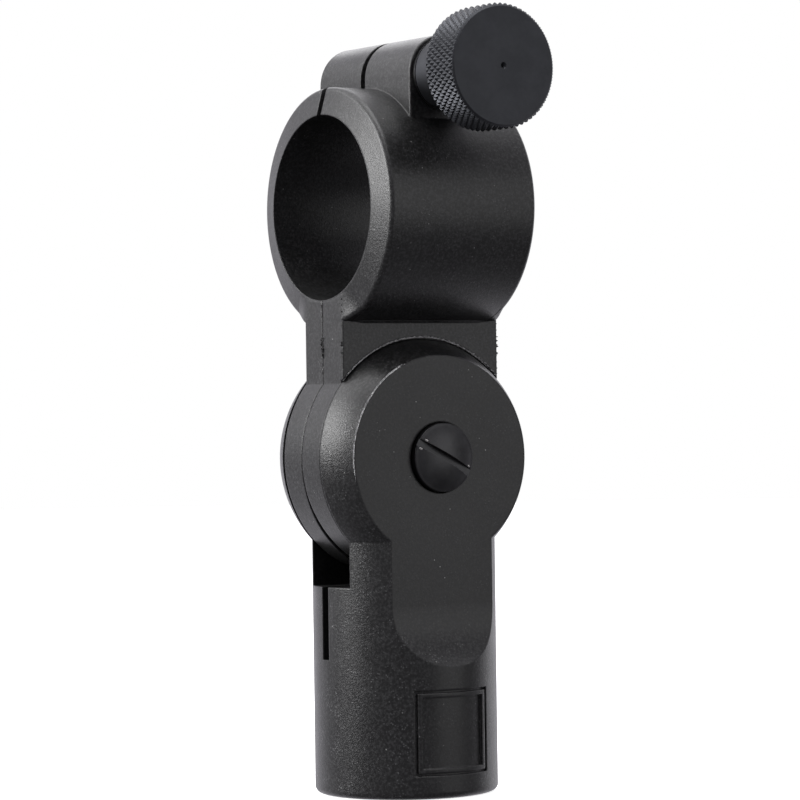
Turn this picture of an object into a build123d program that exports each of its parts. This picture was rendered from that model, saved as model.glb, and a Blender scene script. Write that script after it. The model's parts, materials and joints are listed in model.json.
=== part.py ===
from build123d import *
import os
from math import sqrt

# Swivel clamp for a slim barrel on a threaded stand.
# Millimetres. +Z is up along the base, the origin is the middle of the base's lower face.
# The barrel lies along X. The pivot and the thumb screw lie along Y, with their heads at -Y.

# ---------------------------------------------------------------- driving dimensions
INCH = 25.4

# stand base and its ball-shaped knuckle
base_radius = INCH / 2
foot_rounding = 0.9
pivot_height = 46.3
knuckle_radius = 17.0
ear_face = 9.7                  # outer face of each ear, from the middle plane
ear_rim_rounding = 0.3
flat_low = 26.1                 # below this height each ear's flat curves out to the base's surface
flat_runout_radius = 12.7
slot_near = -4.7                # inner face of the near ear
slot_far = 5.3                  # inner face of the far ear
slot_floor = 28.7
slit_width = 1.6
slit_floor = 18.7

# stand thread, 5/8 inch with 27 threads to the inch
thread_bore = 7.45              # radius over the thread's crests
insert_radius = 9.25
insert_length = 15.5
insert_groove_depth = 0.4
insert_groove_width = 1.4

# plain framed panel low on the near side
panel_height = 9.0
panel_size = 11.6
panel_ridge_outer = 10.8
panel_ridge_inner = 9.7
panel_depth = 0.4

# clamp halves
tongue_radius = 16.3
tongue_face = 4.58
neck_half_width = INCH / 2
neck_near_face = 5.15           # the near neck stands proud of its tongue, from the middle plane
neck_top = 65.6                 # just inside the ring's outer surface
neck_edge_rounding = 0.2
shoulder_radius = 16.6          # arc about the pivot where the proud neck ends, clear of the ear
ring_height = 80.7
bore_radius = INCH / 2
bore_length = INCH
ring_radius = 16.5
ring_end_setback = 1.05         # how far the ring's ends lean back from bore to rim
ring_rim_rounding = 0.75
lug_half_width = 5.45
lug_end = 11.65
lug_rounding = 0.25
screw_height = 98.4
slit_near = -0.3                # the two faces of the slit above the bore
slit_far = 0.8
seam_chamfer = 0.15
seam_relief_top = 44.0          # below this the two tongue halves draw apart
seam_relief_depth = 0.75        # on each half, at the tongue's foot

# pivot hardware, number 10 screw
shank_radius = 2.4
running_clearance = 0.05
clearance_hole = 2.6
head_radius = 4.73
head_rim = 10.55                # height of the head's rim, from the middle plane
head_dome = 1.0
head_slot_width = 1.0
head_slot_depth = 1.1
head_slot_angle = -28
counterbore_radius = 4.88
counterbore_floor = 8.45
spring_washer_thickness = 0.6
nut_across_flats = 9.5
nut_thickness = 2.7
nut_pocket_slack = 0.15
nut_pocket_floor = 6.7
friction_washer_radius = 12.0
friction_washer_thickness = 0.55

# thumb screw
collar_radius = 5.0
knob_radius = 8.41
knob_face_radius = 7.87
knob_back = 19.76
knob_face = 26.13
knob_face_chamfer = 0.45
knob_back_chamfer = 0.3
centre_mark_radius = 0.45
centre_mark_depth = 0.55
thrust_washer_thickness = 0.5
screw_tail = 10.4
lug_insert_radius = 3.55
lug_insert_length = 9.0
lug_insert_flange_radius = 4.3
lug_insert_flange = 0.8

far_out = 60.0                  # larger than the object, for cuts that run right through

os.makedirs("parts", exist_ok=True)


def save(piece, name):
    """Label one finished piece and write it to its own file."""
    piece.label = name
    export_step(piece, f"parts/{name}.step")


# ---------------------------------------------------------------- stand base
ear_face_radius = sqrt(knuckle_radius**2 - ear_face**2)

# Cutter for the panel: a square groove around a ridge, and the sunk field inside the ridge.
with BuildPart() as panel_cutter:
    with BuildSketch(Plane.XZ.offset(base_radius - panel_depth * 6)):
        with Locations((0, panel_height)):
            Rectangle(panel_size, panel_size)
            Rectangle(panel_ridge_outer, panel_ridge_outer, mode=Mode.SUBTRACT)
            Rectangle(panel_ridge_inner, panel_ridge_inner)
    extrude(amount=panel_size)
    Cylinder(base_radius - panel_depth, far_out, mode=Mode.SUBTRACT)

with BuildPart() as stand_base:
    Cylinder(base_radius, pivot_height, align=(Align.CENTER, Align.CENTER, Align.MIN))
    fillet(stand_base.edges().sort_by(Axis.Z)[0], foot_rounding)
    # flats on both sides, running out below in a hollow curve
    for side in (1, -1):
        with BuildSketch(Plane.YZ.offset(-far_out)):
            with BuildLine():
                Polyline(
                    (side * (ear_face + flat_runout_radius), flat_low - flat_runout_radius),
                    (side * (ear_face + flat_runout_radius), far_out),
                    (side * ear_face, far_out),
                    (side * ear_face, flat_low),
                )
                RadiusArc(
                    (side * ear_face, flat_low),
                    (side * (ear_face + flat_runout_radius), flat_low - flat_runout_radius),
                    -side * flat_runout_radius,
                )
            make_face()
        extrude(amount=2 * far_out, mode=Mode.SUBTRACT)
    # ball-shaped knuckle, flat on the same two planes
    with BuildSketch(Plane.XY.offset(pivot_height)) as knuckle_section:
        with BuildLine():
            ThreePointArc((ear_face_radius, -ear_face), (knuckle_radius, 0), (ear_face_radius, ear_face))
            Polyline(
                (ear_face_radius, ear_face),
                (0, ear_face),
                (0, -ear_face),
                (ear_face_radius, -ear_face),
            )
        make_face()
        fillet(knuckle_section.vertices().group_by(Axis.X)[-1], ear_rim_rounding)
    revolve(axis=Axis((0, 0, pivot_height), (0, 1, 0)))
    # fork slot for the tongue, and the saw cut below it that lets the ears close
    with BuildSketch(Plane.XY.offset(slot_floor)):
        with Locations((0, (slot_near + slot_far) / 2)):
            Rectangle(far_out, slot_far - slot_near)
    extrude(amount=far_out, mode=Mode.SUBTRACT)
    with BuildSketch(Plane.XY.offset(slit_floor)):
        with Locations((0, (slot_near + slot_far) / 2)):
            Rectangle(far_out, slit_width)
    extrude(amount=far_out, mode=Mode.SUBTRACT)
    # pocket for the thread insert
    with BuildSketch(Plane.XY):
        Circle(insert_radius)
    extrude(amount=insert_length, mode=Mode.SUBTRACT)
    # pivot hole, counterbore for the head and hexagonal pocket for the nut
    with BuildSketch(Plane.XZ.offset(-far_out / 2)):
        with Locations((0, pivot_height)):
            Circle(clearance_hole)
    extrude(amount=far_out, mode=Mode.SUBTRACT)
    with BuildSketch(Plane.XZ.offset(counterbore_floor)):
        with Locations((0, pivot_height)):
            Circle(counterbore_radius)
    extrude(amount=far_out, mode=Mode.SUBTRACT)
    with BuildSketch(Plane.XZ.offset(-nut_pocket_floor)):
        with Locations((0, pivot_height)):
            RegularPolygon(nut_across_flats / 2 + nut_pocket_slack, 6, major_radius=False)
    extrude(amount=-far_out, mode=Mode.SUBTRACT)
    add(panel_cutter.part, mode=Mode.SUBTRACT)
save(stand_base.part, "stand_base")

# ---------------------------------------------------------------- thread insert
with BuildPart() as thread_insert:
    Cylinder(insert_radius, insert_length, align=(Align.CENTER, Align.CENTER, Align.MIN))
    for level in (insert_length / 3, 2 * insert_length / 3):
        with BuildSketch(Plane.XY.offset(level - insert_groove_width / 2)):
            Circle(insert_radius)
            Circle(insert_radius - insert_groove_depth, mode=Mode.SUBTRACT)
        extrude(amount=insert_groove_width, mode=Mode.SUBTRACT)
    with BuildSketch(Plane.XY):
        Circle(thread_bore)
    extrude(amount=insert_length, mode=Mode.SUBTRACT)
save(thread_insert.part, "thread_insert")

# ---------------------------------------------------------------- clamp halves
# Both halves start from one whole body: tongue, neck, ring and lug.
with BuildPart() as clamp_body:
    with BuildSketch(Plane.XZ.offset(-tongue_face)):
        with Locations((0, pivot_height)):
            Circle(tongue_radius)
            Rectangle(2 * neck_half_width, neck_top - pivot_height, align=(Align.CENTER, Align.MIN))
    extrude(amount=2 * tongue_face)
    fillet(clamp_body.edges().filter_by(Axis.Z), neck_edge_rounding)
    with BuildSketch(Plane.XZ.offset(-lug_end)):
        with Locations((0, screw_height)):
            Circle(lug_half_width)
            Rectangle(2 * lug_half_width, screw_height - ring_height, align=(Align.CENTER, Align.MAX))
    extrude(amount=2 * lug_end)
    fillet(clamp_body.edges().filter_by(lambda edge: abs(edge.center().Y) > lug_end - 0.01), lug_rounding)
    with BuildSketch(Plane.XZ) as ring_section:
        with BuildLine():
            Polyline(
                (-bore_length / 2, ring_height),
                (-bore_length / 2, ring_height + bore_radius),
                (-bore_length / 2 + ring_end_setback, ring_height + ring_radius),
                (bore_length / 2 - ring_end_setback, ring_height + ring_radius),
                (bore_length / 2, ring_height + bore_radius),
                (bore_length / 2, ring_height),
                close=True,
            )
        make_face()
        fillet(ring_section.vertices().group_by(Axis.Y)[-1], ring_rim_rounding)
    revolve(axis=Axis((0, 0, ring_height), (1, 0, 0)))
    with BuildSketch(Plane.YZ.offset(-far_out / 2)):
        with Locations((0, ring_height)):
            Circle(bore_radius)
    extrude(amount=far_out, mode=Mode.SUBTRACT)
    with BuildSketch(Plane.XZ.offset(-far_out / 2)):
        with Locations((0, pivot_height)):
            Circle(shank_radius + running_clearance)
        with Locations((0, screw_height)):
            Circle(clearance_hole)
    extrude(amount=far_out, mode=Mode.SUBTRACT)
    # slit through the top of the ring and the lug
    with BuildSketch(Plane.XY.offset(ring_height)):
        with Locations((0, (slit_near + slit_far) / 2)):
            Rectangle(far_out, slit_far - slit_near)
    extrude(amount=far_out, mode=Mode.SUBTRACT)


def seam_edges(half):
    """Outer edges of the joint face below the bore: the neck's sides and the tongue's rim."""
    seam = half.edges().filter_by(lambda edge: abs(edge.center().Y) < 1e-4)
    sides = seam.filter_by(Axis.Z)
    rim = seam.filter_by(GeomType.CIRCLE).filter_by(lambda edge: abs(edge.radius - tongue_radius) < 0.01)
    return sides + rim


# Wedge that parts the two tongue halves towards their foot.
tongue_foot = pivot_height - tongue_radius
with BuildPart() as seam_relief:
    with BuildSketch(Plane.YZ.offset(-far_out / 2)):
        with BuildLine():
            Polyline(
                (0, seam_relief_top),
                (-seam_relief_depth, tongue_foot),
                (seam_relief_depth, tongue_foot),
                close=True,
            )
        make_face()
    extrude(amount=far_out)

# Proud part of the near half's neck, cut back to an arc where it passes the ear.
with BuildPart() as shoulder:
    with BuildSketch(Plane.XZ):
        with Locations((0, pivot_height)):
            Rectangle(2 * neck_half_width, neck_top - pivot_height, align=(Align.CENTER, Align.MIN))
            Circle(shoulder_radius, mode=Mode.SUBTRACT)
    extrude(amount=neck_near_face)
    near_corners = shoulder.edges().filter_by(Axis.Z).group_by(Axis.Y)[0]
    fillet(near_corners, neck_edge_rounding)

with BuildPart() as clamp_half_near:
    add(clamp_body.part)
    split(bisect_by=Plane.XZ, keep=Keep.TOP)
    add(shoulder.part)
    chamfer(seam_edges(clamp_half_near), seam_chamfer)
    add(seam_relief.part, mode=Mode.SUBTRACT)
save(clamp_half_near.part, "clamp_half_near")

with BuildPart() as clamp_half_far:
    add(clamp_body.part)
    split(bisect_by=Plane.XZ, keep=Keep.BOTTOM)
    chamfer(seam_edges(clamp_half_far), seam_chamfer)
    add(seam_relief.part, mode=Mode.SUBTRACT)
    with BuildSketch(Plane.XZ.offset(-slit_far)):
        with Locations((0, screw_height)):
            Circle(lug_insert_radius)
    extrude(amount=-lug_insert_length, mode=Mode.SUBTRACT)
    with BuildSketch(Plane.XZ.offset(-slit_far)):
        with Locations((0, screw_height)):
            Circle(lug_insert_flange_radius)
    extrude(amount=-lug_insert_flange, mode=Mode.SUBTRACT)
save(clamp_half_far.part, "clamp_half_far")

# Threaded bush in the far lug, which the thumb screw pulls against.
with BuildPart() as lug_insert:
    with BuildSketch(Plane.XZ.offset(-slit_far)):
        with Locations((0, screw_height)):
            Circle(lug_insert_radius)
            Circle(shank_radius + running_clearance, mode=Mode.SUBTRACT)
    extrude(amount=-lug_insert_length)
    with BuildSketch(Plane.XZ.offset(-slit_far)):
        with Locations((0, screw_height)):
            Circle(lug_insert_flange_radius)
            Circle(shank_radius + running_clearance, mode=Mode.SUBTRACT)
    extrude(amount=-lug_insert_flange)
save(lug_insert.part, "lug_insert")

# ---------------------------------------------------------------- pivot hardware
dome_radius = (head_radius**2 + head_dome**2) / (2 * head_dome)
head_underside = counterbore_floor + spring_washer_thickness
with BuildPart() as pivot_screw:
    # half section in the plane of the screw's axis, turned about that axis
    with BuildSketch(Plane.XY.offset(pivot_height)):
        with BuildLine():
            Line((0, nut_pocket_floor + nut_thickness), (0, -head_rim - head_dome))
            RadiusArc((0, -head_rim - head_dome), (head_radius, -head_rim), -dome_radius)
            Polyline(
                (head_radius, -head_rim),
                (head_radius, -head_underside),
                (shank_radius, -head_underside),
                (shank_radius, nut_pocket_floor + nut_thickness),
                (0, nut_pocket_floor + nut_thickness),
            )
        make_face()
    revolve(axis=Axis((0, 0, pivot_height), (0, 1, 0)))
    with BuildSketch(Plane.XZ.offset(head_rim + head_dome - head_slot_depth)):
        with Locations(Location((0, pivot_height), head_slot_angle)):
            Rectangle(3 * head_radius, head_slot_width)
    extrude(amount=far_out, mode=Mode.SUBTRACT)
save(pivot_screw.part, "pivot_screw")

with BuildPart() as spring_washer:
    with BuildSketch(Plane.XZ.offset(counterbore_floor)):
        with Locations((0, pivot_height)):
            Circle(head_radius)
            Circle(clearance_hole, mode=Mode.SUBTRACT)
    extrude(amount=spring_washer_thickness)
save(spring_washer.part, "spring_washer")

with BuildPart() as pivot_nut:
    with BuildSketch(Plane.XZ.offset(-nut_pocket_floor)):
        with Locations((0, pivot_height)):
            RegularPolygon(nut_across_flats / 2, 6, major_radius=False)
            Circle(shank_radius + running_clearance, mode=Mode.SUBTRACT)
    extrude(amount=-nut_thickness)
save(pivot_nut.part, "pivot_nut")

with BuildPart() as friction_washer:
    with BuildSketch(Plane.XZ.offset(-slot_far)):
        with Locations((0, pivot_height)):
            Circle(friction_washer_radius)
            Circle(clearance_hole, mode=Mode.SUBTRACT)
    extrude(amount=friction_washer_thickness)
save(friction_washer.part, "friction_washer")

# ---------------------------------------------------------------- thumb screw
with BuildPart() as thumb_screw:
    with BuildSketch(Plane.XY.offset(screw_height)):
        with BuildLine():
            Polyline(
                (0, screw_tail),
                (0, centre_mark_depth - knob_face),
                (centre_mark_radius, -knob_face),
                (knob_face_radius, -knob_face),
                (knob_radius, knob_face_chamfer - knob_face),
                (knob_radius, -knob_back - knob_back_chamfer),
                (knob_radius - knob_back_chamfer, -knob_back),
                (collar_radius, -knob_back),
                (collar_radius, -lug_end - thrust_washer_thickness),
                (shank_radius, -lug_end - thrust_washer_thickness),
                (shank_radius, screw_tail),
                close=True,
            )
        make_face()
    revolve(axis=Axis((0, 0, screw_height), (0, 1, 0)))
save(thumb_screw.part, "thumb_screw")

with BuildPart() as thrust_washer:
    with BuildSketch(Plane.XZ.offset(lug_end)):
        with Locations((0, screw_height)):
            Circle(collar_radius)
            Circle(shank_radius + running_clearance, mode=Mode.SUBTRACT)
    extrude(amount=thrust_washer_thickness)
save(thrust_washer.part, "thrust_washer")
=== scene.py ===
import json
import math
import random

import bmesh
import bpy
from mathutils import Matrix, Vector


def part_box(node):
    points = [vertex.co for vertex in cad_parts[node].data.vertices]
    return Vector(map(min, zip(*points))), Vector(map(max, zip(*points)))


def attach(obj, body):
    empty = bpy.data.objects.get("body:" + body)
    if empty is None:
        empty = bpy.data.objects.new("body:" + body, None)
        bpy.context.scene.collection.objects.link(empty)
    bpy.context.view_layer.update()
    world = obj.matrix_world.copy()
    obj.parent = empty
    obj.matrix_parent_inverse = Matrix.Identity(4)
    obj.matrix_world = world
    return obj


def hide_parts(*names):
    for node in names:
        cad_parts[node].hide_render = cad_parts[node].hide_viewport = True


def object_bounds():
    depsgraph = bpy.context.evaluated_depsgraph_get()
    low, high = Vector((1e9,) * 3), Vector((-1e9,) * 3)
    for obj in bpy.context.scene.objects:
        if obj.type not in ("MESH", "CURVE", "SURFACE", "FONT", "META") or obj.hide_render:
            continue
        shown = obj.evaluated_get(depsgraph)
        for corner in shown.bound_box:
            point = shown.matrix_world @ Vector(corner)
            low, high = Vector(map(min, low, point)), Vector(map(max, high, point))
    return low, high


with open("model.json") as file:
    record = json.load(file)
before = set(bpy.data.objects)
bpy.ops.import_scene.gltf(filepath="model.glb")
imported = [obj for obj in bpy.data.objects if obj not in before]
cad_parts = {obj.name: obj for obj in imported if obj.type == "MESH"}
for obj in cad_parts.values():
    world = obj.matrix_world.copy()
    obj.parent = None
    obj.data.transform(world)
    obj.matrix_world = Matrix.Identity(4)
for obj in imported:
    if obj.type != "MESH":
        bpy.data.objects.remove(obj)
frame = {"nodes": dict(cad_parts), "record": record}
cad_lo, cad_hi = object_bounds()
nodes = frame["nodes"]
MM = 0.001
INCH = 25.4 * MM
TAU = 2 * math.pi


def middle_of(node):
    lo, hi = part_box(node)
    return (lo + hi) / 2


# ------------------------------------------------------------------ places taken from the frame
PIVOT_Z = middle_of("pivot_screw").z
SCREW_Z = middle_of("thumb_screw").z
near_lo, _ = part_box("clamp_half_near")
knob_lo, knob_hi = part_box("thumb_screw")
washer_lo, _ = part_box("thrust_washer")
pivot_lo, pivot_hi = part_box("pivot_screw")
nut_lo, nut_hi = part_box("pivot_nut")
spring_lo, spring_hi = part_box("spring_washer")
insert_lo, insert_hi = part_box("thread_insert")
mounts = {mount["name"]: mount for mount in frame["record"]["mounts"]}
barrel = mounts["barrel_clamp"]
RING_Z = barrel["pos_m"][2]
RING_RADIUS = -near_lo.y
BORE_RADIUS = barrel["dims"]["r_mm"] * MM
NECK_HALF_WIDTH = barrel["dims"]["length_mm"] * MM / 2

# ------------------------------------------------------------------ sizes that the frame doesn't give
# the three faces are distances from the seam, along Y
TONGUE_FACE = 4.58 * MM
NECK_NEAR_FACE = 5.15 * MM
NECK_TOP = 65.6 * MM                # where the neck's end face runs into the ring's
SHOULDER_RADIUS = 16.6 * MM         # arc of the near half's shoulder, about the pivot
EAR_FACE = 9.7 * MM
KNUCKLE_RADIUS = 17.0 * MM
EAR_FACE_RADIUS = math.sqrt(KNUCKLE_RADIUS**2 - EAR_FACE**2)
RING_END_SETBACK = 1.05 * MM        # how far the ring's ends lean back from bore to rim

# thumb screw
KNOB_RADIUS = (knob_hi.x - knob_lo.x) / 2
KNOB_LENGTH = 6.37 * MM
KNOB_BACK = knob_lo.y + KNOB_LENGTH
FACE_RADIUS, FACE_CHAMFER = 7.87 * MM, 0.45 * MM
FACE_MIDDLE = 4.0 * MM              # an extra ring on the face, so that its facets aren't slivers
BACK_CHAMFER = 0.3 * MM
COLLAR_RADIUS, COLLAR_ROOT, COLLAR_CHAMFER = 5.0 * MM, 0.4 * MM, 0.25 * MM
SHANK_RADIUS, SHANK_ROOT = 2.4 * MM, 1.85 * MM      # the pivot screw's shank is as thick
TIP_LENGTH, TIP_DEPTH = 0.6 * MM, 0.5 * MM
SHANK_COLUMNS = 48
SCREW_PITCH = INCH / 24
KNURL_TEETH = 62
KNURL_AXIAL_PITCH = 1.42 * MM
KNURL_DEPTH = 0.3 * MM
KNURL_FLAT = 0.86                   # share of a full diamond's height where its tip is cut flat
KNURL_STEPS = 4                     # grid cells to each half pitch
# the lathe's centre mark in the knob's face: depth and radius, from its bottom out
CENTRE_MARK = [(0.55 * MM, 0.02 * MM), (0.08 * MM, 0.36 * MM), (0.0, 0.45 * MM)]

# threads: rings to each turn, and how steep the flanks are and how wide the flat at the root is
THREAD_STEPS = 8
THREAD_SLOPE, THREAD_FLAT = 1.25, 0.12

# thread insert, for the 5/8 inch stand thread with 27 threads to the inch
STAND_CREST, STAND_ROOT = 7.45 * MM, 7.94 * MM
STAND_PITCH = INCH / 27
INSERT_RADIUS = insert_hi.x
INSERT_MOUTH = 0.6 * MM
INSERT_COLUMNS = 120

# pivot screw
HEAD_RADIUS = (pivot_hi.x - pivot_lo.x) / 2
HEAD_DOME = 1.0 * MM
HEAD_RIM = 0.22 * MM
HEAD_UNDERSIDE = -9.05 * MM         # its place along Y
HEAD_COLUMNS, DOME_STEPS, RIM_STEPS = 96, 14, 5
DOME_RADIUS = (HEAD_RADIUS**2 + HEAD_DOME**2) / (2 * HEAD_DOME)
SCREW_TIP = 0.4 * MM
SLOT_WIDTH, SLOT_DEPTH, SLOT_TURN = 1.0 * MM, 1.1 * MM, math.radians(-28)
SLOT_SOFTENING = 0.05 * MM
CUTTER_REACH = 1.5 * HEAD_RADIUS
CUTTER_CLEARANCE = 2 * MM
BURR_LENGTH, BURR_WIDTH, BURR_COLUMNS = 0.5 * MM, 0.35 * MM, 16
BURR_OFFSET = 0.2 * MM              # from the slot's lip to the middle of a burr
# burrs on the slot's lips: place along it, in head radii, and which lip
SLOT_BURRS = [(-0.8, 1), (-0.86, -1), (0.84, 1)]
# a burr's rings: share of its width, and height over the dome
BURR_RINGS = [(1.0, -0.06 * MM), (0.9, 0.01 * MM), (0.5, 0.05 * MM), (0.1, 0.06 * MM)]

# pivot nut and spring washer
NUT_FLAT = (nut_hi.z - nut_lo.z) / 2
NUT_HOLE = 2.45 * MM
NUT_CHAMFER = math.radians(30)
NUT_FACE_SHARE = 0.985              # radius of the nut's end faces, as a share of NUT_FLAT
NUT_EDGE = 0.04 * MM
NUT_COLUMNS = 144
SPRING_RADIUS = (spring_hi.x - spring_lo.x) / 2
SPRING_HOLE = 2.6 * MM
SPRING_ROUND = 0.08 * MM
SPRING_GAP = math.radians(7)        # half the gap where the ring is split
SPRING_STEPS = 72

# hollow corner where the ring meets the neck
ROOT_RADIUS = 0.4 * MM
ROOT_ARC_STEPS, ROOT_HALF_STEPS = 8, 12
ROOT_SINK, ROOT_LIFT = 0.1 * MM, 0.15 * MM
ROOT_END_GAP = 0.2 * MM
ROOT_TAPER = 2.4 * MM
ROOT_SMALLEST = 0.02

# blend of the neck's end face into the ring's
BLEND_COLUMNS, BLEND_ROWS = 40, 20
BLEND_CROWDING = 1.6                # draws the rows together towards the outer edge
BLEND_TURN = math.radians(15)
BLEND_ROUND, BORE_ROUND = 0.5 * MM, 0.15 * MM
BLEND_THICKNESS = 0.7 * MM
BLEND_SINK = 0.05 * MM
BORE_GAP = 0.02 * MM
FADE_LEAD = math.radians(1.5)
CORNER_TURN = math.radians(1.2)
# how far the blend laps the neck, how far it stands out there, and how deep its edge dives
NECK_LAP, NECK_PROUD, NECK_SINK = 0.5 * MM, 0.008 * MM, 0.096 * MM
NECK_INSET = 0.1 * MM
SEAM_TURN, SEAM_BEVEL, SEAM_DEPTH = math.radians(0.1), math.radians(0.7), 0.15 * MM

# moulding flash
FLAKE_DRIFT, FLAKE_TIP = 0.25, 0.12     # shares of a flake's length
FRINGE_SINK, FRINGE_THICKNESS = 0.04 * MM, 0.08 * MM
RIBBON_SINK, RIBBON_LEAST = 0.05 * MM, 0.005 * MM
RIBBON_STEPS = 2                    # sections to each degree
RIBBON_TAPER = 24                   # sections over which an end fades

# burrs on the neck's seam: heights above the pivot, and over the ring's underside
BURRS_FROM, BURRS_PAST_RING = 11.0 * MM, 3.2 * MM
TORN_FROM, TORN_TO = 13.6 * MM, 16.4 * MM
BURR_SINK = 0.06 * MM
CORNER_INSET = 0.14 * MM
CORNER_GAPS = 0.45                  # share of the burrs missing from the neck's near corner


# ------------------------------------------------------------------ materials
def rgba(value):
    """A colour from one grey level or from red, green and blue."""
    if isinstance(value, (int, float)):
        return (value, value, value, 1.0)
    return (*value, 1.0)


class Nodes:
    """A node tree, with short ways to add nodes and links."""

    def __init__(self, tree):
        self.tree = tree
        tree.nodes.clear()

    def add(self, kind, **props):
        node = self.tree.nodes.new(kind)
        for key, value in props.items():
            setattr(node, key, value)
        return node

    def link(self, a, b):
        self.tree.links.new(a, b)

    def span(self, value, low, high, to_low=0.0, to_high=1.0):
        """Soft step from to_low to to_high while value goes from low to high."""
        node = self.add("ShaderNodeMapRange", interpolation_type="SMOOTHSTEP")
        limits = {"From Min": low, "From Max": high, "To Min": to_low, "To Max": to_high}
        for key, number in limits.items():
            node.inputs[key].default_value = number
        self.link(value, node.inputs["Value"])
        return node.outputs["Result"]

    def math(self, operation, a, b=None):
        node = self.add("ShaderNodeMath", operation=operation)
        for socket, value in zip(node.inputs, (a, b)):
            if isinstance(value, (int, float)):
                socket.default_value = value
            elif value is not None:
                self.link(value, socket)
        return node.outputs["Value"]

    def times(self, product, *factors):
        for factor in factors:
            product = self.math("MULTIPLY", product, factor)
        return product


class Mat(Nodes):
    """A material of one shader, with short ways to add its textures."""

    def __init__(self, name):
        self.material = bpy.data.materials.new(name)
        self.material.use_nodes = True
        super().__init__(self.material.node_tree)
        out = self.add("ShaderNodeOutputMaterial")
        self.bsdf = self.add("ShaderNodeBsdfPrincipled")
        self.link(self.bsdf.outputs["BSDF"], out.inputs["Surface"])
        self.place = self.add("ShaderNodeTexCoord").outputs["Object"]

    def fixed(self, **sockets):
        """Even values, straight on the shader's own sockets."""
        for key, value in sockets.items():
            self.bsdf.inputs[key.replace("_", " ")].default_value = value

    def noise(self, scale, detail, rough):
        """Noise with about scale features to the metre."""
        node = self.add("ShaderNodeTexNoise")
        node.inputs["Scale"].default_value = scale
        node.inputs["Detail"].default_value = detail
        node.inputs["Roughness"].default_value = rough
        self.link(self.place, node.inputs["Vector"])
        return node.outputs["Fac"]

    def cells(self, scale):
        """Distance to the nearest of scattered points, about scale of them to the metre."""
        node = self.add("ShaderNodeTexVoronoi", feature="F1")
        node.inputs["Scale"].default_value = scale
        self.link(self.place, node.inputs["Vector"])
        return node.outputs["Distance"]

    def mix(self, factor, a, b):
        node = self.add("ShaderNodeMix", data_type="RGBA")
        for name, value in (("Factor", factor), ("A", a), ("B", b)):
            socket = [s for s in node.inputs if s.name == name and s.enabled][0]
            if isinstance(value, (tuple, float, int)):
                socket.default_value = rgba(value)
            else:
                self.link(value, socket)
        return [s for s in node.outputs if s.enabled][0]

    def axes(self, vector):
        """The X, Y and Z sockets of a vector."""
        parts = self.add("ShaderNodeSeparateXYZ")
        self.link(vector, parts.inputs[0])
        return parts.outputs

    def edges(self, radius, low, high):
        """1 along sharp corners and 0 on open faces, from a rounded normal against the true one."""
        bevel = self.add("ShaderNodeBevel", samples=6)
        bevel.inputs["Radius"].default_value = radius
        true = self.add("ShaderNodeNewGeometry").outputs["Normal"]
        dot = self.add("ShaderNodeVectorMath", operation="DOT_PRODUCT")
        self.link(bevel.outputs["Normal"], dot.inputs[0])
        self.link(true, dot.inputs[1])
        return self.span(dot.outputs["Value"], low, high, 1.0, 0.0)

    def roughness(self, middle, *layers):
        """Uneven roughness from layers of (noise, share), about middle."""
        total = self.times(*layers[0])
        for layer in layers[1:]:
            total = self.math("ADD", total, self.times(*layer))
        lift = middle - sum(share for _, share in layers) / 2
        self.link(self.math("ADD", total, lift), self.bsdf.inputs["Roughness"])

    def relief(self, layers, rounding):
        """layers: (height, distance in metres, strength), one on another over softly rounded edges."""
        bevel = self.add("ShaderNodeBevel", samples=6)
        bevel.inputs["Radius"].default_value = rounding
        normal = bevel.outputs["Normal"]
        for height, distance, strength in layers:
            node = self.add("ShaderNodeBump")
            node.inputs["Distance"].default_value = distance
            node.inputs["Strength"].default_value = strength
            self.link(height, node.inputs["Height"])
            self.link(normal, node.inputs["Normal"])
            normal = node.outputs["Normal"]
        self.link(normal, self.bsdf.inputs["Normal"])


FRECKLE_COLOUR = (0.045, 0.045, 0.046)
DOT_COLOUR = (0.11, 0.11, 0.112)
DUST_COLOUR = (0.35, 0.35, 0.34)
# paler edge colour: partly rubbed wear, partly a painted highlight along the edges
RUB_AND_EDGE_HIGHLIGHT_COLOUR = (0.07, 0.07, 0.072)
MOTTLE_HEIGHT = 0.06 * MM
FINE_HEIGHT = 0.008 * MM
GRAIN_SHARE, STIPPLE_SHARE = 0.38, 0.18
PLASTIC_ROUNDING, METAL_ROUNDING = 0.3 * MM, 0.06 * MM


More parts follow.
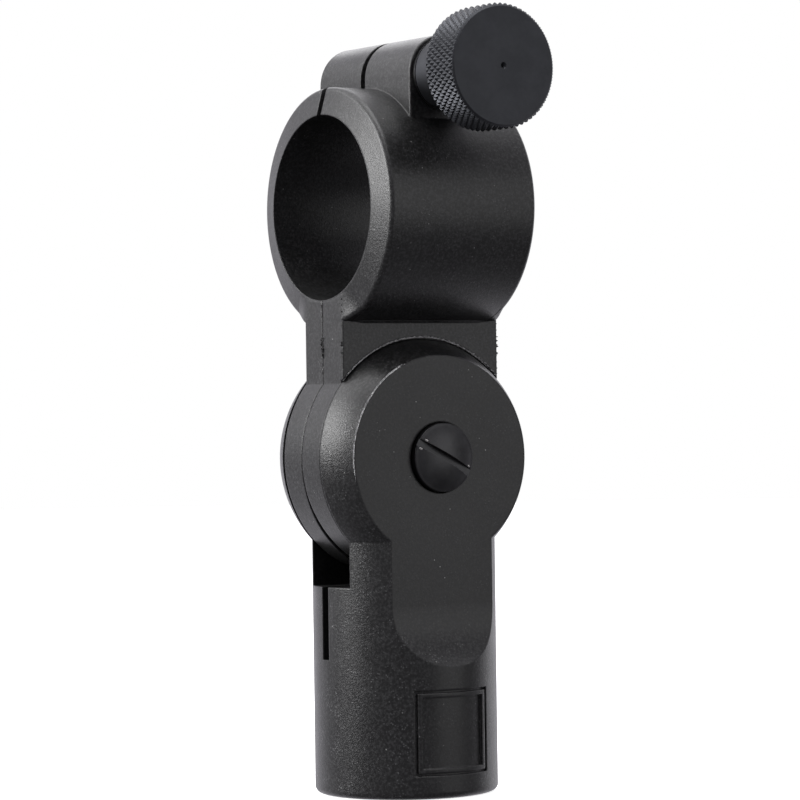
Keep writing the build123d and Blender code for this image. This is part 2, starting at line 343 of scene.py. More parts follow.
def moulded_plastic(name, dark, pale, speck, grain_height, rough, polish=0.0):
    """Charcoal glass-filled nylon: moulded grain, pale specks, soft mottling, and paler edges that are
    partly rubbed wear and partly a painted edge highlight.

    dark and pale are the mottling's two greys, speck is how strong the pale dots are, and polish is
    how much finer the grain is on faces that look along Y.
    """
    k = Mat(name)
    blotch = k.noise(70, 3, 0.55)
    mottle = k.noise(240, 4, 0.6)
    pits = k.cells(2300)
    patchy = k.span(k.noise(330, 3, 0.55), 0.42, 0.66)
    facing = k.math("ABSOLUTE", k.axes(k.add("ShaderNodeNewGeometry").outputs["Normal"])["Y"])
    coarse = k.math("SUBTRACT", 1.0, k.times(k.span(facing, 0.93, 0.99), polish))

    freckle = k.span(k.noise(2700, 3, 0.65), 0.42, 0.66)
    dots = k.span(pits, 0.16, 0.32, 1.0, 0.0)
    dust = k.span(k.cells(620), 0.035, 0.07, 1.0, 0.0)
    dusty = k.span(k.noise(120, 2, 0.5), 0.4, 0.6)
    edge_breakup = k.span(k.noise(1100, 3, 0.6), 0.38, 0.62, 0.2, 1.0)
    colour = k.mix(k.span(mottle, 0.3, 0.7), dark, pale)
    colour = k.mix(k.times(freckle, 0.6, coarse), colour, FRECKLE_COLOUR)
    colour = k.mix(k.times(dots, patchy, coarse, speck), colour, DOT_COLOUR)
    colour = k.mix(k.times(dust, dusty, 0.8), colour, DUST_COLOUR)
    # paler edges: partly rubbed wear, partly a painted highlight where rounded edges would catch the
    # light
    colour = k.mix(k.times(k.edges(0.3 * MM, 0.6, 0.985), edge_breakup, 0.3), colour, RUB_AND_EDGE_HIGHLIGHT_COLOUR)
    k.link(colour, k.bsdf.inputs["Base Color"])
    k.roughness(rough, (blotch, 0.14), (mottle, 0.1))
    k.fixed(Specular_IOR_Level=0.5)

    grain = k.times(k.noise(5000, 3, 0.6), coarse)
    stipple = k.times(k.span(pits, 0.1, 0.5, 1.0, 0.0), patchy, coarse)
    layers = [
        (mottle, MOTTLE_HEIGHT, 0.3),
        (grain, grain_height * GRAIN_SHARE, 0.8),
        (stipple, grain_height * STIPPLE_SHARE, 0.7),
        (k.noise(6400, 2, 0.7), FINE_HEIGHT, 0.5),
    ]
    k.relief(layers, PLASTIC_ROUNDING)
    return k.material


def dark_metal(name, colour, rough, axis_z=None, pitch=0.14 * MM, wear=0.25, groove=0.004 * MM):
    """Blackened or turned metal: smudges, paler rubbed edges, and lathe marks round an axis along Y.

    axis_z is the axis's height, or None for no lathe marks, whose spacing is pitch.
    """
    k = Mat(name)
    smudge = k.noise(280, 4, 0.6)
    fine = k.noise(5200, 2, 0.6)
    edge_breakup = k.span(k.noise(1600, 3, 0.6), 0.4, 0.62, 0.15, 1.0)
    tone = k.mix(k.span(smudge, 0.3, 0.7), tuple(c * 0.75 for c in colour), colour)
    bare = tuple(min(1.0, c * 4 + 0.05) for c in colour)
    tone = k.mix(k.times(k.edges(0.12 * MM, 0.5, 0.97), edge_breakup, wear), tone, bare)
    k.link(tone, k.bsdf.inputs["Base Color"])
    k.roughness(rough, (smudge, 0.2), (fine, 0.08))
    k.fixed(Metallic=1.0)
    layers = [(fine, FINE_HEIGHT, 0.5)]
    if axis_z is not None:
        shift = k.add("ShaderNodeVectorMath", operation="SUBTRACT")
        shift.inputs[1].default_value = (0, 0, axis_z)
        k.link(k.place, shift.inputs[0])
        from_axis = k.axes(shift.outputs["Vector"])
        squares = [k.math("POWER", from_axis[letter], 2.0) for letter in "XZ"]
        reach = k.math("SQRT", k.math("ADD", *squares))
        layers.append((k.math("SINE", k.times(reach, TAU / pitch)), groove, 0.35))
    k.relief(layers, METAL_ROUNDING)
    return k.material


def pale_flash_and_rim_highlight():
    """Thin torn plastic, which looks paler than the body it grew from; along the ear's front rim the same
    pale colour is a painted highlight.
    """
    k = Mat("flash_pale_and_rim_highlight")
    k.link(k.mix(k.span(k.noise(4000, 2, 0.6), 0.35, 0.65), 0.3, 0.8), k.bsdf.inputs["Base Color"])
    k.fixed(Roughness=0.55)
    return k.material


def pale_floor():
    k = Mat("pale_floor")
    k.link(k.mix(k.noise(9, 3, 0.5), 0.9, 0.93), k.bsdf.inputs["Base Color"])
    k.fixed(Roughness=0.7, Emission_Color=(1, 1, 1, 1), Emission_Strength=0.85)
    return k.material


SLOTS = {
    "base_plastic": moulded_plastic("base_plastic_grained", 0.006, 0.0095, 0.6, 0.12 * MM, 0.33, 0.65),
    "clamp_plastic": moulded_plastic("clamp_plastic_grained", 0.006, 0.0095, 0.4, 0.09 * MM, 0.34),
    "black_steel": dark_metal("black_steel_oxide", (0.065, 0.065, 0.067), 0.34, PIVOT_Z, wear=0.5),
    "knob_metal": dark_metal("knob_metal_black", (0.058, 0.06, 0.066), 0.48, SCREW_Z, 0.16 * MM),
    "insert_brass": dark_metal("insert_brass_turned", (0.5, 0.34, 0.14), 0.35, wear=0.1),
    "washer_fibre": moulded_plastic("washer_fibre_grey", 0.014, 0.02, 0.2, 0.03 * MM, 0.7),
}
BARE_STEEL = dark_metal("bare_steel_rubbed", (0.55, 0.54, 0.52), 0.3, wear=0.1)
FLASH_AND_RIM_HIGHLIGHT = pale_flash_and_rim_highlight()
FINISH = {
    "stand_base": "base_plastic",
    "thread_insert": "insert_brass",
    "clamp_half_near": "clamp_plastic",
    "clamp_half_far": "clamp_plastic",
    "lug_insert": "insert_brass",
    "pivot_screw": "black_steel",
    "spring_washer": "black_steel",
    "pivot_nut": "black_steel",
    "friction_washer": "washer_fibre",
    "thumb_screw": "knob_metal",
    "thrust_washer": "black_steel",
}
for node, finish in FINISH.items():
    nodes[node].data.materials.clear()
    nodes[node].data.materials.append(SLOTS[finish])


# ------------------------------------------------------------------ mesh helpers
def add_object(name, data):
    made = bpy.data.objects.new(name, data)
    bpy.context.collection.objects.link(made)
    return made


class Shell:
    """Points and faces gathered from several surfaces into one mesh."""

    def __init__(self):
        self.points, self.faces = [], []

    def strip(self, rings, caps=True, slant=None):
        """Skin between rings of equally many points. slant(i, j) picks how a quad is cut in two."""
        first, count = len(self.points), len(rings[0])
        for ring in rings:
            self.points.extend(ring)
        for j in range(len(rings) - 1):
            for i in range(count):
                a, b = first + j * count + i, first + j * count + (i + 1) % count
                c, d = b + count, a + count
                if slant is None:
                    self.faces.append((a, b, c, d))
                elif slant(i, j):
                    self.faces += [(a, b, c), (a, c, d)]
                else:
                    self.faces += [(a, b, d), (b, c, d)]
        if caps:
            self.faces.append(tuple(reversed(range(first, first + count))))
            last = first + (len(rings) - 1) * count
            self.faces.append(tuple(range(last, last + count)))

    def mesh(self, name, smooth_angle=None):
        mesh = bpy.data.meshes.new(name)
        mesh.from_pydata([tuple(p) for p in self.points], [], self.faces)
        bm = bmesh.new()
        bm.from_mesh(mesh)
        bmesh.ops.remove_doubles(bm, verts=bm.verts, dist=1e-7)
        bmesh.ops.recalc_face_normals(bm, faces=bm.faces)
        if smooth_angle is not None:
            for face in bm.faces:
                face.smooth = True
            for edge in bm.edges:
                joined = len(edge.link_faces) == 2
                edge.smooth = joined and edge.calc_face_angle(0.0) < math.radians(smooth_angle)
        bm.to_mesh(mesh)
        bm.free()
        return mesh

    def object(self, name, finish, body, stands_for=None, smooth_angle=None, material=None):
        """One piece on a body, smooth where its faces meet at less than smooth_angle degrees."""
        mesh = self.mesh(name, smooth_angle)
        mesh.materials.append(material or SLOTS[finish])
        piece = add_object(name, mesh)
        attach(piece, body)
        if stands_for:
            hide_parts(stands_for)
        return piece


def around(radius, columns):
    """Sine and cosine parts of points at even turns about a centre. radius may depend on the angle."""
    parts = []
    for i in range(columns):
        turn = TAU * i / columns
        r = radius(turn) if callable(radius) else radius
        parts.append((r * math.sin(turn), r * math.cos(turn)))
    return parts


def round_y(y, radius, columns, centre_z):
    """A ring of points about a line along Y."""
    return [(sine, y, centre_z + cosine) for sine, cosine in around(radius, columns)]


def round_z(z, radius, columns):
    """A ring of points about the Z axis."""
    return [(cosine, sine, z) for sine, cosine in around(radius, columns)]


def smooth(t):
    """Soft step from 0 to 1."""
    t = min(1.0, max(0.0, t))
    return t * t * (3 - 2 * t)


def tooth(phase):
    """Triangle wave: 0 at whole numbers, 1 half-way between."""
    return 1.0 - abs(2.0 * (phase % 1.0) - 1.0)


def thread_radius(turns, crest, root):
    """Radius of a thread's 60-degree form with small flats, from a phase in turns."""
    return root + (crest - root) * min(1.0, max(0.0, THREAD_SLOPE * tooth(turns) - THREAD_FLAT))


def evenly(first, last, count):
    """count + 1 numbers from first to last."""
    return [first + (last - first) * k / count for k in range(count + 1)]


# ------------------------------------------------------------------ knurled thumb screw
def knurl(turn, along):
    """Radius of the diamond knurl before the chamfers cut it."""
    teeth = turn * KNURL_TEETH / TAU
    rise = along / KNURL_AXIAL_PITCH
    height = min(tooth(teeth + rise), tooth(teeth - rise), KNURL_FLAT) / KNURL_FLAT
    return KNOB_RADIUS - KNURL_DEPTH * (1.0 - height)


def knob_limit(y):
    """Radius left by the knob's two chamfers at y."""
    front = FACE_RADIUS + (y - knob_lo.y) / FACE_CHAMFER * (KNOB_RADIUS - FACE_RADIUS)
    rear = KNOB_RADIUS - BACK_CHAMFER + (KNOB_BACK - y)
    return min(front, rear)


def knob_and_collar(shell):
    """The knob from its centre mark over the face and knurl to the collar's end."""
    columns = KNURL_TEETH * 2 * KNURL_STEPS
    step = KNURL_AXIAL_PITCH / 2 / KNURL_STEPS
    rows = int((KNOB_BACK - knob_lo.y) / step)
    front = [(knob_lo.y + depth, radius) for depth, radius in CENTRE_MARK]
    front.append((knob_lo.y, FACE_MIDDLE))
    rear = [
        (KNOB_BACK, COLLAR_RADIUS + COLLAR_ROOT),
        (KNOB_BACK + 0.3 * COLLAR_ROOT, COLLAR_RADIUS + 0.25 * COLLAR_ROOT),
        (KNOB_BACK + COLLAR_ROOT, COLLAR_RADIUS),
        (washer_lo.y - COLLAR_CHAMFER, COLLAR_RADIUS),
        (washer_lo.y, COLLAR_RADIUS - COLLAR_CHAMFER),
    ]
    rings = [round_y(y, radius, columns, SCREW_Z) for y, radius in front]
    for y in [knob_lo.y + k * step for k in range(rows + 1)] + [KNOB_BACK]:
        rings.append(
            round_y(y, lambda turn: min(knurl(turn, y - knob_lo.y), knob_limit(y)), columns, SCREW_Z)
        )
    rings += [round_y(y, radius, columns, SCREW_Z) for y, radius in rear]

    def along_groove(i, j):
        """Whether the cell's first diagonal is the one that runs along a groove of the knurl."""
        return (i // KNURL_STEPS + (j - len(front)) // KNURL_STEPS) % 2 == 0

    shell.strip(rings, slant=along_groove)


def threaded_shank(shell):
    """The thumb screw's thread, from the washer to its chamfered tip."""
    rows = int((knob_hi.y - washer_lo.y) / (SCREW_PITCH / THREAD_STEPS))
    rings = []
    for y in evenly(washer_lo.y, knob_hi.y, rows):
        limit = SHANK_RADIUS - TIP_DEPTH * (1.0 - min(1.0, (knob_hi.y - y) / TIP_LENGTH))

        def radius(turn):
            return min(limit, thread_radius(y / SCREW_PITCH - turn / TAU, SHANK_RADIUS, SHANK_ROOT))

        rings.append(round_y(y, radius, SHANK_COLUMNS, SCREW_Z))
    shell.strip(rings)


knob = Shell()
knob_and_collar(knob)
threaded_shank(knob)
knob.object("thumb_screw_knurled", "knob_metal", "thumb_screw", "thumb_screw", 24)


# ------------------------------------------------------------------ threaded insert in the base
def stand_insert():
    """A plain tube outside, and inside the stand thread behind a chamfered mouth."""
    inside = []
    rows = int((insert_hi.z - insert_lo.z) / (STAND_PITCH / THREAD_STEPS))
    for z in evenly(insert_lo.z, insert_hi.z, rows):
        mouth = STAND_CREST + max(0.0, INSERT_MOUTH - (z - insert_lo.z))

        def radius(turn):
            return max(mouth, thread_radius(z / STAND_PITCH - turn / TAU, STAND_ROOT, STAND_CREST))

        inside.append(round_z(z, radius, INSERT_COLUMNS))
    outside = [round_z(z, INSERT_RADIUS, INSERT_COLUMNS) for z in (insert_hi.z, insert_lo.z)]
    insert = Shell()
    insert.strip(inside + outside + inside[:1], caps=False)
    insert.object("thread_insert_threaded", "insert_brass", "base", "thread_insert", 40)


stand_insert()

# ------------------------------------------------------------------ slotted pivot screw
along_slot = Vector((math.cos(SLOT_TURN), 0, math.sin(SLOT_TURN)))
across_slot = Vector((-math.sin(SLOT_TURN), 0, math.cos(SLOT_TURN)))


def dome(reach):
    """Y of the head's dome, at a distance from its axis."""
    return pivot_lo.y + DOME_RADIUS - math.sqrt(DOME_RADIUS**2 - reach**2)


def pivot_screw_blank():
    """The domed head with its rounded rim, and the shank with its chamfered tip."""
    flat_radius = HEAD_RADIUS - HEAD_RIM
    outline = [(0.001 * MM, pivot_lo.y)]
    outline += [(r, dome(r)) for r in evenly(0, flat_radius, DOME_STEPS)[1:]]
    rim_y = outline[-1][1]
    for bend in evenly(0, math.pi / 2, RIM_STEPS)[1:]:
        outline.append((flat_radius + HEAD_RIM * math.sin(bend), rim_y + HEAD_RIM * (1 - math.cos(bend))))
    outline += [
        (HEAD_RADIUS, HEAD_UNDERSIDE),
        (SHANK_RADIUS, HEAD_UNDERSIDE),
        (SHANK_RADIUS, nut_lo.y),
        (SHANK_RADIUS, pivot_hi.y - SCREW_TIP),
        (SHANK_RADIUS - SCREW_TIP, pivot_hi.y),
    ]
    head = Shell()
    head.strip([round_y(y, r, HEAD_COLUMNS, PIVOT_Z) for r, y in outline])
    return head.object("pivot_screw_slotted", "black_steel", "tension_screw", "pivot_screw", 30)


def slot_cutter():
    """A block as wide as the slot, through the head and out past its rim."""
    cutter = Shell()
    rings = []
    for y in (pivot_lo.y - CUTTER_CLEARANCE, pivot_lo.y + SLOT_DEPTH):
        ring = []
        for s, t in ((1, 1), (-1, 1), (-1, -1), (1, -1)):
            corner = along_slot * (s * CUTTER_REACH) + across_slot * (t * SLOT_WIDTH / 2)
            ring.append(Vector((0, y, PIVOT_Z)) + corner)
        rings.append(ring)
    cutter.strip(rings)
    return add_object("slot_cutter", cutter.mesh("slot_cutter"))


def cut_slot(screw):
    """Cuts the slot and takes the sharpness off the head's edges."""
    cutter = slot_cutter()
    with bpy.context.temp_override(object=screw, active_object=screw, selected_objects=[screw]):
        slot = screw.modifiers.new("slot", "BOOLEAN")
        slot.object, slot.operation, slot.solver = cutter, "DIFFERENCE", "EXACT"
        bpy.ops.object.modifier_apply(modifier="slot")
        soft = screw.modifiers.new("soft", "BEVEL")
        soft.width, soft.segments = SLOT_SOFTENING, 2
        soft.limit_method, soft.angle_limit = "ANGLE", math.radians(40)
        bpy.ops.object.modifier_apply(modifier="soft")
    bpy.data.objects.remove(cutter)


def slot_end_burrs():
    """Small bright burrs that a driver has raised on both lips of the slot, near its ends."""
    burrs = Shell()
    for run, lip in SLOT_BURRS:
        middle = along_slot * (run * HEAD_RADIUS) + across_slot * (lip * (SLOT_WIDTH / 2 + BURR_OFFSET))
        rings = []
        for size, height in BURR_RINGS:
            ring = []
            for k in range(BURR_COLUMNS):
                bend = TAU * k / BURR_COLUMNS
                spot = middle + along_slot * (size * BURR_LENGTH / 2 * math.cos(bend))
                spot = spot + across_slot * (size * BURR_WIDTH / 2 * math.sin(bend))
                ring.append((spot.x, dome(math.hypot(spot.x, spot.z)) - height, PIVOT_Z + spot.z))
            rings.append(ring)
        burrs.strip(rings)
    burrs.object("slot_end_burrs", "black_steel", "tension_screw", smooth_angle=60, material=BARE_STEEL)


cut_slot(pivot_screw_blank())
slot_end_burrs()


# ------------------------------------------------------------------ pivot nut and spring washer
def hexagon(turn):
    """Distance from the nut's axis to its outline, with a flat facing up."""
    return NUT_FLAT / math.cos((turn + math.pi / 6) % (math.pi / 3) - math.pi / 6)


def nut_end(y, inward):
    """The rims of the nut's round end face and of its hexagon, which the chamfer bends inward."""
    face, edge = [], []
    for x, _, z in round_y(y, hexagon, NUT_COLUMNS, PIVOT_Z):
        reach = math.hypot(x, z - PIVOT_Z)
        shrink = NUT_FLAT * NUT_FACE_SHARE / reach
        face.append((x * shrink, y, PIVOT_Z + (z - PIVOT_Z) * shrink))
        edge.append((x, y + inward * ((reach - NUT_FLAT) * math.tan(NUT_CHAMFER) + NUT_EDGE), z))
    return face, edge


def pivot_nut():
    near_hole, far_hole = (round_y(y, NUT_HOLE, NUT_COLUMNS, PIVOT_Z) for y in (nut_lo.y, nut_hi.y))
    near_face, near_edge = nut_end(nut_lo.y, 1)
    far_face, far_edge = nut_end(nut_hi.y, -1)
    nut = Shell()
    nut.strip([near_hole, near_face, near_edge, far_edge, far_face, far_hole, near_hole], caps=False)
    nut.object("pivot_nut_chamfered", "black_steel", "base", "pivot_nut", 20)


def spring_washer():
    """A flat ring with rounded edges, split at the top."""
    outline = [
        (SPRING_HOLE, spring_lo.y + SPRING_ROUND),
        (SPRING_HOLE + SPRING_ROUND, spring_lo.y),
        (SPRING_RADIUS - SPRING_ROUND, spring_lo.y),
        (SPRING_RADIUS, spring_lo.y + SPRING_ROUND),
        (SPRING_RADIUS, spring_hi.y - SPRING_ROUND),
        (SPRING_RADIUS - SPRING_ROUND, spring_hi.y),
        (SPRING_HOLE + SPRING_ROUND, spring_hi.y),
        (SPRING_HOLE, spring_hi.y - SPRING_ROUND),
    ]
    sections = []
    for turn in evenly(SPRING_GAP, TAU - SPRING_GAP, SPRING_STEPS):
        sections.append([(r * math.sin(turn), y, PIVOT_Z + r * math.cos(turn)) for r, y in outline])
    spring = Shell()
    spring.strip(sections)
    spring.object("spring_washer_split", "black_steel", "base", "spring_washer", 30)


pivot_nut()
spring_washer()


# ------------------------------------------------------------------ corners of the clamp's neck
def ring_root(side, face):
    """Hollow corner between one face of the neck and the ring above it."""
    yc = face + ROOT_RADIUS
    zc = RING_Z - math.sqrt((RING_RADIUS + ROOT_RADIUS) ** 2 - yc**2)
    on_ring = math.atan2(RING_Z - zc, -yc)
    outline = []
    for bend in evenly(math.pi, on_ring, ROOT_ARC_STEPS):
        outline.append((yc + ROOT_RADIUS * math.cos(bend), zc + ROOT_RADIUS * math.sin(bend)))
    foot_z, (ring_y, ring_z) = outline[0][1], outline[-1]
    top_z = ring_z + ROOT_LIFT
    outline += [(ring_y - ROOT_SINK, top_z), (face - ROOT_SINK, top_z), (face - ROOT_SINK, foot_z)]

    reach = NECK_HALF_WIDTH - RING_END_SETBACK - ROOT_END_GAP
    corner_z = RING_Z - math.sqrt(RING_RADIUS**2 - face**2)
    sections = []
    for x in evenly(-reach, reach, 2 * ROOT_HALF_STEPS):
        size = ROOT_SMALLEST + (1 - ROOT_SMALLEST) * smooth((reach - abs(x)) / ROOT_TAPER)
        section = []
        for y, z in outline:
            section.append((x, side * (face + (y - face) * size), corner_z + (z - corner_z) * size))
        sections.append(section)
    return sections


def rounded_by(radius, distance):
    """How far a rounded edge has dropped, at a distance in from the edge."""
    return radius - math.sqrt(radius**2 - max(0.0, radius - distance) ** 2)


def end_blend(side, end, face):
    """Sector that carries the neck's end face up to the bore, and fades out along the ring's end."""
    neck_drop = RING_Z - NECK_TOP + NECK_LAP
    corner = math.atan2(face, neck_drop)
    fade_start = corner - FADE_LEAD
    last_turn = corner + BLEND_TURN
    bore_edge = BORE_RADIUS + BORE_GAP
    sections = []
    for turn in [SEAM_TURN] + evenly(SEAM_TURN + SEAM_BEVEL, last_turn, BLEND_COLUMNS):
        hold = 1 - smooth((turn - fade_start) / (last_turn - fade_start))
        past = smooth((turn - corner) / CORNER_TURN + 0.5)
        on_neck = neck_drop / math.cos(turn)
        limit = on_neck + (RING_RADIUS - on_neck) * past
        shift = NECK_PROUD * (1 - past) - (SEAM_DEPTH if turn == SEAM_TURN else 0.0)
        outer, inner = [], []
        for m in range(BLEND_ROWS + 1):
            r = bore_edge + (limit - bore_edge) * (1 - (1 - m / BLEND_ROWS) ** BLEND_CROWDING)
            cone = NECK_HALF_WIDTH - RING_END_SETBACK * (r - BORE_RADIUS) / (RING_RADIUS - BORE_RADIUS)
            x = cone + (NECK_HALF_WIDTH - cone) * hold - BLEND_SINK * (1 - hold) + shift
            x -= past * rounded_by(BLEND_ROUND, limit - r) + rounded_by(BORE_ROUND, r - BORE_RADIUS)
            y, z = side * r * math.sin(turn), RING_Z - r * math.cos(turn)
            outer.append((end * x, y, z))
            inner.append((end * (cone - BLEND_THICKNESS), y, z))
        # past the outer edge the skin dives into the neck, without reaching the neck's other faces
        inside_neck = (face - NECK_INSET) / math.sin(turn)
        sunk = max(limit, min(limit + 2 * NECK_LAP, inside_neck))
        y, z = side * sunk * math.sin(turn), RING_Z - sunk * math.cos(turn)
        outer.append((end * (x - NECK_SINK), y, z))
        inner.append((end * (cone - BLEND_THICKNESS), y, z))
        sections.append(outer + inner[::-1])
    return sections


for half, side, face in (("near", -1, NECK_NEAR_FACE), ("far", 1, TONGUE_FACE)):
    roots = Shell()
    for end in (-1, 1):
        roots.strip(end_blend(side, end, face))
    roots.strip(ring_root(side, face))
    roots.object("clamp_roots_" + half, "clamp_plastic", "clamp", smooth_angle=30)

# ------------------------------------------------------------------ moulding flash and burrs, and a painted highlight along the ear's rim
dice = random.Random(11)


def flake(shell, base, out, side, up, length, height, thick):
    """One torn fleck: a small uneven wedge on the edge it grew from."""
    tip = base + out * height + side * length * dice.uniform(-FLAKE_DRIFT, FLAKE_DRIFT)
    tip_half = side * length * FLAKE_TIP
    front = [base - side * length / 2, base + side * length / 2, tip + tip_half, tip - tip_half]
    shell.strip([front, [p + up * thick for p in front]])


def round_pivot(degrees):
    """Outward and onward directions on an arc about the pivot, at an angle from straight up."""
    turn = math.radians(degrees)
    return Vector((math.sin(turn), 0, math.cos(turn))), Vector((math.cos(turn), 0, -math.sin(turn)))


def fringe(shell, radius, y, start, end, gap, length, height, lean):
    """Torn flash along an arc about the pivot, from start to end in degrees from straight up; along the
    ear's rim its pale flakes are a painted highlight.

    gap, in degrees, and length and height, in millimetres, are ranges for the flakes. lean tips them
    outward.
    """
    degrees = start
    while degrees < end:
        degrees += dice.uniform(*gap)
        out, onward = round_pivot(degrees)
        foot = Vector((0, FRINGE_SINK - y, PIVOT_Z)) + out * radius
        rise = (Vector((0, -1, 0)) + out * lean).normalized()
        long, tall = dice.uniform(*length) * MM, dice.uniform(*height) * MM
        flake(shell, foot, rise, onward, out, long, tall, FRINGE_THICKNESS)


def ribbon(shell, radius, y, start, end, width, height):
    """Continuous uneven flash along an arc about the pivot: a low ridge that fades out at both ends;
    along the ear's rim this pale ridge is a painted highlight.
    """
    count = (end - start) * RIBBON_STEPS
    sections = []
    for k, degrees in enumerate(evenly(start, end, count)):
        out, _ = round_pivot(degrees)
        taper = smooth(min(k, count - k) / RIBBON_TAPER)
        half = dice.uniform(0.5, 1.0) * width / 2 * taper + RIBBON_LEAST
        tall = dice.uniform(0.4, 1.0) * height * taper + RIBBON_LEAST
        foot = Vector((0, RIBBON_SINK - y, PIVOT_Z)) + out * radius
        crest = foot - Vector((0, RIBBON_SINK + tall, 0)) + out * dice.uniform(-0.3, 0.3) * half
        sections.append([foot - out * half, crest, foot + out * half])
    shell.strip(sections)


def neck_seam_burrs():
    """Burrs up the neck's two end faces, on the seam and the near corner, larger where it is torn."""
    burrs = Shell()
    for side in (-1, 1):
        z = PIVOT_Z + BURRS_FROM
        while z < RING_Z - RING_RADIUS + BURRS_PAST_RING:
            torn = PIVOT_Z + TORN_FROM < z < PIVOT_Z + TORN_TO
            z += (dice.uniform(0.1, 0.26) if torn else dice.uniform(0.4, 1.3)) * MM
            on_seam = dice.choice((-1, 1)) * dice.uniform(0.08, 0.22) * MM
            on_corner = CORNER_INSET - NECK_NEAR_FACE
            for y in (on_seam, on_corner):
                if y == on_corner and dice.random() < CORNER_GAPS:
                    continue
                foot = Vector((side * (NECK_HALF_WIDTH - BURR_SINK), y, z))
                tall = (dice.uniform(0.22, 0.42) if torn else dice.uniform(0.1, 0.18)) * MM
                long, thick = dice.uniform(0.15, 0.38) * MM, dice.uniform(0.08, 0.16) * MM
                flake(
                    burrs, foot, Vector((side, 0, 0)), Vector((0, 0, 1)), Vector((0, 1, 0)),
                    long, tall, thick,
                )
    burrs.object("neck_seam_burrs", "clamp_plastic", "clamp")


shoulder, rim = Shell(), Shell()
ribbon(shoulder, SHOULDER_RADIUS - 0.05 * MM, NECK_NEAR_FACE, -50, 46, width=0.24 * MM, height=0.1 * MM)
fringe(
    shoulder, SHOULDER_RADIUS, NECK_NEAR_FACE, -49, 45,
    gap=(0.8, 4.0), length=(0.15, 0.45), height=(0.12, 0.36), lean=0.1,
)
# pale flakes and ridges along the ear's front rim: a painted highlight standing for the light its rounded
# edge catches
fringe(
    rim, EAR_FACE_RADIUS, EAR_FACE - 0.14 * MM, -95, -26,
    gap=(0.35, 0.75), length=(0.14, 0.36), height=(0.14, 0.24), lean=0.8,
)
ribbon(rim, EAR_FACE_RADIUS, EAR_FACE - 0.08 * MM, -104, -18, width=0.22 * MM, height=0.12 * MM)
ribbon(rim, EAR_FACE_RADIUS, EAR_FACE - 0.1 * MM, 16, 66, width=0.12 * MM, height=0.05 * MM)
shoulder.object("shoulder_flash", "clamp_plastic", "clamp", material=FLASH_AND_RIM_HIGHLIGHT)
rim.object("ear_rim_flash_and_highlight", "base_plastic", "base", material=FLASH_AND_RIM_HIGHLIGHT)
neck_seam_burrs()

# ------------------------------------------------------------------ camera
VIEW_AZIMUTH, VIEW_ELEVATION, VIEW_ROLL = (math.radians(v) for v in (-32.8, 0.15, -0.8))
VIEW_DISTANCE = 0.471
TARGET_HEIGHT, TARGET_ASIDE = 0.0542, -0.0002
SENSOR_WIDTH, LENS = 36.0, 152.5        # millimetres, as cameras count them

back = Vector(
    (
        math.sin(VIEW_AZIMUTH) * math.cos(VIEW_ELEVATION),
        -math.cos(VIEW_AZIMUTH) * math.cos(VIEW_ELEVATION),
        math.sin(VIEW_ELEVATION),
    )
)
right = Vector((math.cos(VIEW_AZIMUTH), math.sin(VIEW_AZIMUTH), 0))
up = back.cross(right)
aside = right * math.cos(VIEW_ROLL) + up * math.sin(VIEW_ROLL)
above = up * math.cos(VIEW_ROLL) - right * math.sin(VIEW_ROLL)
eye = Vector((0, 0, TARGET_HEIGHT)) + right * TARGET_ASIDE + back * VIEW_DISTANCE
cam_data = bpy.data.cameras.new("camera")
cam_data.sensor_width, cam_data.lens = SENSOR_WIDTH, LENS
cam_data.clip_start, cam_data.clip_end = 0.01, 20.0
cam = add_object("camera", cam_data)
cam.matrix_world = Matrix([(aside[i], above[i], back[i], eye[i]) for i in range(3)] + [(0, 0, 0, 1)])
bpy.context.scene.camera = cam
bpy.context.scene.view_settings.view_transform = "Standard"

# ------------------------------------------------------------------ lights
# area lamps: name, direction from the object, distance, width, height, watts
LAMPS = [
    ("left", (-1.0, 0.3, 0.38), 0.55, 0.25, 0.3, 2.8),
    ("left_back", (-0.75, 0.66, 0.45), 0.55, 0.3, 0.4, 0.55),
    ("top_left_back", (-0.45, 0.4, 0.8), 0.55, 0.4, 0.4, 0.8),
    ("top", (0.0, -0.1, 1.0), 0.6, 0.5, 0.5, 2.6),
    ("right", (1.0, 0.2, 0.1), 0.55, 0.3, 0.5, 0.25),
    ("front", (0.45, -0.9, 0.15), 0.7, 0.5, 0.5, 0.7),
    ("top_back", (0.5, 0.7, 0.6), 0.55, 0.4, 0.3, 0.5),
]
# soft parts of the surroundings: direction, cosines where they begin and are full, strength
LOBES = [
    ((0.0, 0.0, 1.0), -3.0, -2.0, 0.17),    # full in every direction
    (-back, 0.0, 0.8, 0.4),
    ((0.45, 0.7, -0.55), 0.4, 0.95, 0.3),
    ((-0.5, 0.86, 0.0), 0.3, 0.95, 0.25),
    ((0.0, 0.0, 1.0), 0.1, 0.9, 0.3),
    (back, 0.2, 0.95, 0.1),
    ((0.95, 0.3, 0.0), 0.5, 0.95, 0.15),
]
LOBE_COLOUR = (0.99, 0.97, 1.04)


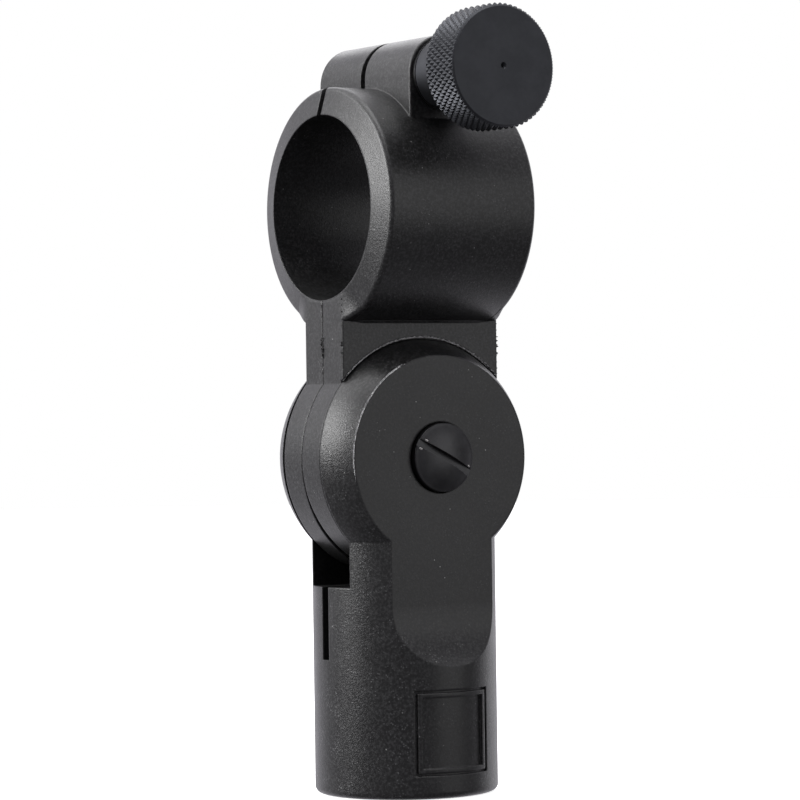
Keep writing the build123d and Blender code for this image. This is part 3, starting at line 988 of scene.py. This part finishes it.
def area_lamp(name, way, distance, width, height, watts):
    lamp = bpy.data.lights.new(name, "AREA")
    lamp.shape, lamp.size, lamp.size_y, lamp.energy = "RECTANGLE", width, height, watts
    holder = add_object(name, lamp)
    holder.location = (cad_lo + cad_hi) / 2 + Vector(way).normalized() * distance
    holder.rotation_mode = "QUATERNION"
    holder.rotation_quaternion = (-Vector(way)).to_track_quat("-Z", "Y")


def studio_world():
    """Soft lobes light the object, and the camera sees plain white behind it."""
    world = bpy.data.worlds.new("studio")
    bpy.context.scene.world = world
    world.use_nodes = True
    sky = Nodes(world.node_tree)
    facing = sky.add("ShaderNodeTexCoord").outputs["Generated"]
    total = 0.0
    for way, begins, full, strength in LOBES:
        dot = sky.add("ShaderNodeVectorMath", operation="DOT_PRODUCT")
        dot.inputs[1].default_value = Vector(way).normalized()
        sky.link(facing, dot.inputs[0])
        lobe = sky.span(dot.outputs["Value"], begins, full, 0.0, strength)
        total = sky.math("ADD", total, lobe)
    soft_light, seen = sky.add("ShaderNodeBackground"), sky.add("ShaderNodeBackground")
    soft_light.inputs["Color"].default_value = rgba(LOBE_COLOUR)
    seen.inputs["Color"].default_value = rgba(1)
    sky.link(total, soft_light.inputs["Strength"])
    choose = sky.add("ShaderNodeMixShader")
    sky.link(sky.add("ShaderNodeLightPath").outputs["Is Camera Ray"], choose.inputs["Fac"])
    sky.link(soft_light.outputs["Background"], choose.inputs[1])
    sky.link(seen.outputs["Background"], choose.inputs[2])
    sky.link(choose.outputs["Shader"], sky.add("ShaderNodeOutputWorld").inputs["Surface"])


for lamp_values in LAMPS:
    area_lamp(*lamp_values)
studio_world()

# ------------------------------------------------------------------ floor
FLOOR_RADIUS, FLOOR_COLUMNS = 1.2, 96
FLOOR_GAP = 0.1 * MM

floor_mesh = bpy.data.meshes.new("floor")
bm = bmesh.new()
bmesh.ops.create_circle(bm, cap_ends=True, radius=FLOOR_RADIUS, segments=FLOOR_COLUMNS)
bm.to_mesh(floor_mesh)
bm.free()
floor_mesh.materials.append(pale_floor())
floor = add_object("floor", floor_mesh)
floor.location = (0, 0, cad_lo.z - FLOOR_GAP)
floor.visible_diffuse = False
floor.visible_glossy = False
